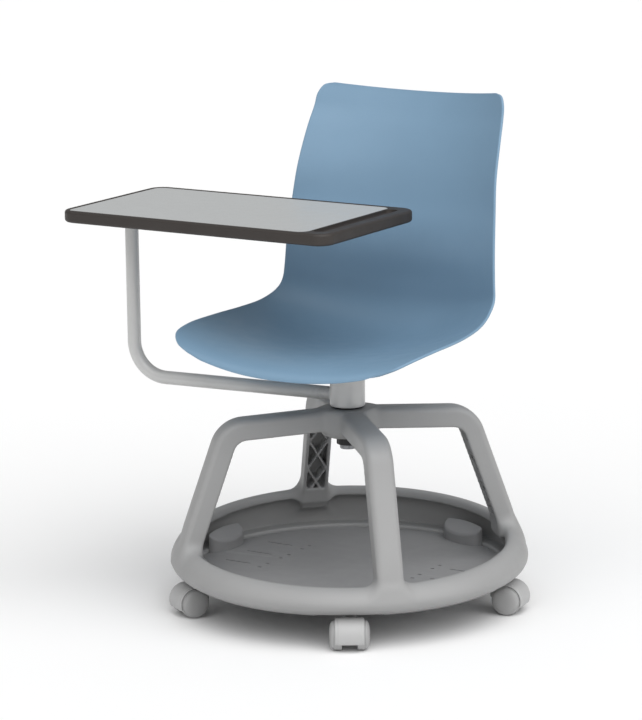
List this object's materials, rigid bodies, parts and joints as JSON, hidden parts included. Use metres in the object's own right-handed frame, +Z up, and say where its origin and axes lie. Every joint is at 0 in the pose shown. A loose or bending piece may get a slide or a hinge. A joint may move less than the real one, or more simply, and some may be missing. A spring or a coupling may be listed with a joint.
{
  "type": "student desk chair",
  "caption": "Swivel chair with a one-piece plastic shell seat, a writing tablet on a bent tube arm, and a wheeled base whose legs stand on a round storage tray.",
  "frame": {"origin": "on the floor at the middle of the whole object's bounding box; the swivel column stands at x = +0.081, y = 0", "axes": "-Y is the way the sitter faces, +X the sitter's left, +Z up"},
  "size_m": [0.812, 0.65, 0.9165],
  "materials": {
    "shell_plastic": "satin blue polypropylene with a fine grain",
    "base_moulding": "satin mid-grey moulding",
    "tray_moulding": "satin grey moulding",
    "tube_paint": "light grey powder coat",
    "tablet_edge": "dark brown-black polymer edge",
    "tablet_surface": "light grey laminate",
    "zinc_steel": "zinc plated",
    "black_polymer": "satin",
    "caster_moulding": "satin mid-grey moulding",
    "wheel_polymer": "satin grey tread"
  },
  "bodies": {
    "base": {"base_frame": "base_moulding", "storage_tray": "tray_moulding", "spindle": "zinc_steel", "spindle_nut": "black_polymer", "hub_washer": "black_polymer", "caster_1_stem": "zinc_steel", "caster_2_stem": "zinc_steel", "caster_3_stem": "zinc_steel", "caster_4_stem": "zinc_steel", "caster_5_stem": "zinc_steel"},
    "seat": {"seat_shell": "shell_plastic", "seat_plate": "zinc_steel", "seat_socket": "tube_paint", "seat_screw_1": "zinc_steel", "seat_screw_2": "zinc_steel", "seat_screw_3": "zinc_steel", "seat_screw_4": "zinc_steel"},
    "arm": {"arm_collar": "tube_paint", "arm_tube": "tube_paint", "swivel_spacer": "black_polymer", "post_bushing": "black_polymer"},
    "tablet": {"tablet_rim": "tablet_edge", "tablet_panel": "tablet_surface", "tablet_bracket": "zinc_steel", "post_thrust_ring": "black_polymer", "tablet_screw_1": "zinc_steel", "tablet_screw_2": "zinc_steel", "tablet_screw_3": "zinc_steel", "tablet_screw_4": "zinc_steel"},
    "caster_1": {"caster_1_housing": "caster_moulding"},
    "caster_1_wheels": {"caster_1_axle": "zinc_steel", "caster_1_wheel_left": "wheel_polymer", "caster_1_wheel_right": "wheel_polymer"},
    "caster_2": {"caster_2_housing": "caster_moulding"},
    "caster_2_wheels": {"caster_2_axle": "zinc_steel", "caster_2_wheel_left": "wheel_polymer", "caster_2_wheel_right": "wheel_polymer"},
    "caster_3": {"caster_3_housing": "caster_moulding"},
    "caster_3_wheels": {"caster_3_axle": "zinc_steel", "caster_3_wheel_left": "wheel_polymer", "caster_3_wheel_right": "wheel_polymer"},
    "caster_4": {"caster_4_housing": "caster_moulding"},
    "caster_4_wheels": {"caster_4_axle": "zinc_steel", "caster_4_wheel_left": "wheel_polymer", "caster_4_wheel_right": "wheel_polymer"},
    "caster_5": {"caster_5_housing": "caster_moulding"},
    "caster_5_wheels": {"caster_5_axle": "zinc_steel", "caster_5_wheel_left": "wheel_polymer", "caster_5_wheel_right": "wheel_polymer"}
  },
  "joints": [
    {"name": "seat_swivel", "type": "hinge", "parent": "base", "child": "seat", "pos_m": [0.081, 0, 0.43], "axis": [0, 0, 1], "continuous": true},
    {"name": "arm_swivel", "type": "hinge", "parent": "seat", "child": "arm", "pos_m": [0.081, 0, 0.396], "axis": [0, 0, 1], "range_deg": [-10, 110]},
    {"name": "tablet_swivel", "type": "hinge", "parent": "arm", "child": "tablet", "pos_m": [-0.356, -0.042, 0.68], "axis": [0, 0, 1], "range_deg": [-100, 0]},
    {"name": "caster_1_swivel", "type": "hinge", "parent": "base", "child": "caster_1", "pos_m": [0.22271, -0.23217, 0.045], "axis": [0, 0, 1], "continuous": true},
    {"name": "caster_1_roll", "type": "hinge", "parent": "caster_1", "child": "caster_1_wheels", "pos_m": [0.23652, -0.25478, 0.0265], "axis": [0.8536, 0.521, 0], "continuous": true},
    {"name": "caster_2_swivel", "type": "hinge", "parent": "base", "child": "caster_2", "pos_m": [0.33969, 0.08405, 0.045], "axis": [0, 0, 1], "continuous": true},
    {"name": "caster_2_roll", "type": "hinge", "parent": "caster_2", "child": "caster_2_wheels", "pos_m": [0.36578, 0.08865, 0.0265], "axis": [-0.1736, 0.9848, 0], "continuous": true},
    {"name": "caster_3_swivel", "type": "hinge", "parent": "base", "child": "caster_3", "pos_m": [0.17224, 0.25624, 0.045], "axis": [0, 0, 1], "continuous": true},
    {"name": "caster_3_roll", "type": "hinge", "parent": "caster_3", "child": "caster_3_wheels", "pos_m": [0.18113, 0.2812, 0.0265], "axis": [-0.9421, 0.3354, 0], "continuous": true},
    {"name": "caster_4_swivel", "type": "hinge", "parent": "base", "child": "caster_4", "pos_m": [-0.19096, 0.00475, 0.045], "axis": [0, 0, 1], "continuous": true},
    {"name": "caster_4_roll", "type": "hinge", "parent": "caster_4", "child": "caster_4_wheels", "pos_m": [-0.21745, 0.00521, 0.0265], "axis": [-0.0174, -0.9998, 0], "continuous": true},
    {"name": "caster_5_swivel", "type": "hinge", "parent": "base", "child": "caster_5", "pos_m": [-0.11466, -0.18895, 0.045], "axis": [0, 0, 1], "continuous": true},
    {"name": "caster_5_roll", "type": "hinge", "parent": "caster_5", "child": "caster_5_wheels", "pos_m": [-0.12831, -0.21166, 0.0265], "axis": [0.8572, -0.515, 0], "continuous": true}
  ]
}
